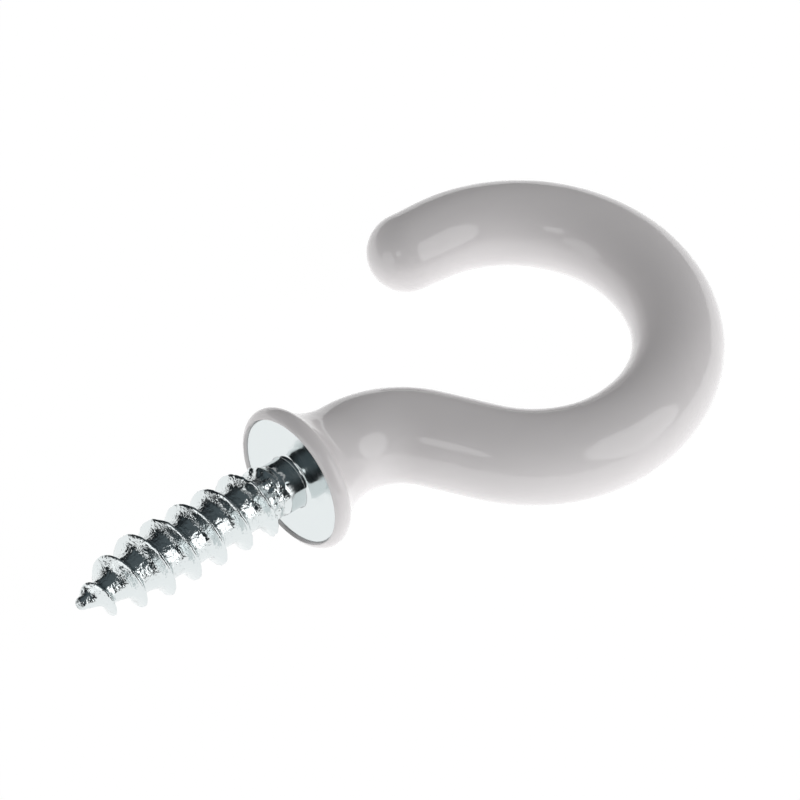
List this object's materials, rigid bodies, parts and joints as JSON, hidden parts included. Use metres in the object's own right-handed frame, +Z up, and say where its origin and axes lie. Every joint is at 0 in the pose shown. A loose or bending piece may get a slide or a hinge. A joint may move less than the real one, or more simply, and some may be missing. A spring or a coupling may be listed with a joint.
{
  "type": "screw hook",
  "caption": "Shouldered screw hook: bare wood-screw end, round flange, and a bow in one plane under a thick soft-plastic coat.",
  "frame": {"origin": "centre of the flange's seat face, on the screw's axis", "axes": "+Z up with the hook lying on a table, +X from the screw towards the bow, dipping 3.7 degrees with the screw's axis, +Y across the hook in the plane of its bow, on the side of the mouth"},
  "size_m": [0.0487, 0.0256, 0.0093],
  "materials": {
    "zinc_plate": "bright zinc plate, mirror-like on the flange and rough where the thread is rolled",
    "soft_plastic": "glossy dipped soft vinyl, off white"
  },
  "bodies": {
    "root": {"steel_hook": "zinc_plate", "plastic_coat": "soft_plastic"}
  },
  "joints": []
}
